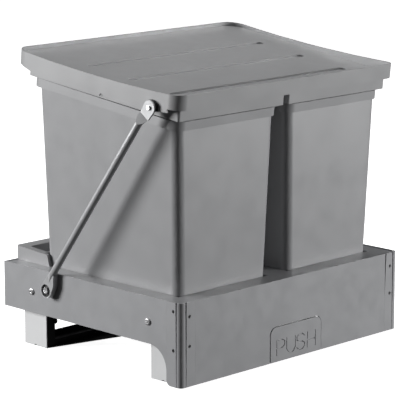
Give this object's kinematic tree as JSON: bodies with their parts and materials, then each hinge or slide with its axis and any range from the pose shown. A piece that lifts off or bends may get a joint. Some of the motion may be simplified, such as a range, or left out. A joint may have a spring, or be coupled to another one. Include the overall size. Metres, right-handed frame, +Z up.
{
  "type": "pull out bin frame",
  "caption": "Cabinet floor frame on telescopic runners that carries waste bins in a tray, with a swing-arm lid and a push-tab latch.",
  "frame": {"origin": "centre of the four screw holes in the cabinet floor, at the floor plane", "axes": "+X across the unit to its right as seen from the front, +Y to the back of the cabinet, +Z up"},
  "size_m": [0.464, 0.355, 0.4221],
  "materials": {
    "black_steel": "satin black powder coat",
    "pale_zinc_plate": "pale grey satin plate",
    "runner_zinc": "bright zinc plate",
    "bearing_balls_cage": "bright steel balls in pressed strips",
    "grey_painted_steel": "mid grey satin powder coat",
    "grey_moulding": "mid grey fine-textured moulding",
    "black_moulding": "black satin moulding",
    "grey_bin_plastic": "mid grey satin polypropylene",
    "grey_box_plastic": "mid grey satin polypropylene",
    "grey_lid_plastic": "mid grey fine-textured moulding",
    "silver_arm_paint": "silver grey gloss paint",
    "bright_steel": "bright plated steel"
  },
  "bodies": {
    "cabinet_base": {"cross_rail_front": "black_steel", "cross_rail_rear": "black_steel", "upright_front_left": "black_steel", "upright_front_right": "black_steel", "upright_rear_left": "black_steel", "upright_rear_right": "black_steel", "mount_plate_front_left": "pale_zinc_plate", "mount_plate_front_right": "pale_zinc_plate", "mount_plate_rear_left": "pale_zinc_plate", "mount_plate_rear_right": "pale_zinc_plate", "bracket_studs": "black_steel", "runner_outer_left": "runner_zinc", "runner_outer_right": "runner_zinc", "runner_bolts": "runner_zinc", "runner_nuts": "runner_zinc", "latch_catch": "black_moulding", "catch_screws": "runner_zinc"},
    "outer_cages": {"outer_ball_cage_left": "bearing_balls_cage", "outer_ball_cage_right": "bearing_balls_cage"},
    "middle_members": {"runner_middle_left": "runner_zinc", "runner_middle_right": "runner_zinc"},
    "inner_cages": {"inner_ball_cage_left": "bearing_balls_cage", "inner_ball_cage_right": "bearing_balls_cage"},
    "pull_out_frame": {"front_panel": "grey_painted_steel", "side_panel_left": "grey_painted_steel", "side_panel_right": "grey_painted_steel", "back_panel": "grey_painted_steel", "corner_piece_left": "grey_moulding", "corner_piece_right": "grey_moulding", "corner_screws": "black_steel", "runner_inner_left": "runner_zinc", "runner_inner_right": "runner_zinc", "slide_screws": "bright_steel", "tray": "grey_moulding", "storage_box": "grey_box_plastic", "bin_left": "grey_bin_plastic", "bin_right": "grey_bin_plastic", "arm_pivot_bolts": "bright_steel", "arm_pivot_washers": "black_moulding", "arm_pivot_spacers": "black_moulding", "tab_hinge_pin": "bright_steel", "tab_spring": "runner_zinc"},
    "lid_arms": {"lid_arm_left": "silver_arm_paint", "lid_arm_right": "silver_arm_paint"},
    "lid": {"lid": "grey_lid_plastic", "lid_pivot_pins": "bright_steel", "lid_pivot_bushes": "black_moulding"},
    "push_tab": {"push_tab": "grey_painted_steel", "latch_hook": "bright_steel", "hook_screws": "runner_zinc"}
  },
  "joints": [
    {"name": "frame_slide", "type": "slide", "parent": "cabinet_base", "child": "pull_out_frame", "axis": [0, -1, 0], "range_m": [0, 0.315]},
    {"name": "middle_slide", "type": "slide", "parent": "cabinet_base", "child": "middle_members", "axis": [0, -1, 0], "range_m": [0, 0.1575]},
    {"name": "outer_cage_slide", "type": "slide", "parent": "cabinet_base", "child": "outer_cages", "axis": [0, -1, 0], "range_m": [0, 0.07875]},
    {"name": "inner_cage_slide", "type": "slide", "parent": "cabinet_base", "child": "inner_cages", "axis": [0, -1, 0], "range_m": [0, 0.23625]},
    {"name": "lid_arm_swing", "type": "hinge", "parent": "pull_out_frame", "child": "lid_arms", "pos_m": [0, 0.0807, 0.0919], "axis": [-1, 0, 0], "range_deg": [0, 55]},
    {"name": "lid_hinge", "type": "hinge", "parent": "lid_arms", "child": "lid", "pos_m": [0, -0.1212, 0.37], "axis": [-1, 0, 0], "range_deg": [-55, 0]},
    {"name": "push_tab_press", "type": "hinge", "parent": "pull_out_frame", "child": "push_tab", "pos_m": [0, -0.1681, 0.0447], "axis": [1, 0, 0], "range_deg": [0, 8], "stiffness_Nm_per_rad": 0.3, "springref_deg": -5.73, "deforming": ["tab_spring"]}
  ],
  "couplings": [
    {"joint": "middle_slide", "follows": "frame_slide", "ratio": 0.5},
    {"joint": "outer_cage_slide", "follows": "frame_slide", "ratio": 0.25},
    {"joint": "inner_cage_slide", "follows": "frame_slide", "ratio": 0.75},
    {"joint": "lid_hinge", "follows": "lid_arm_swing", "ratio": -1}
  ]
}
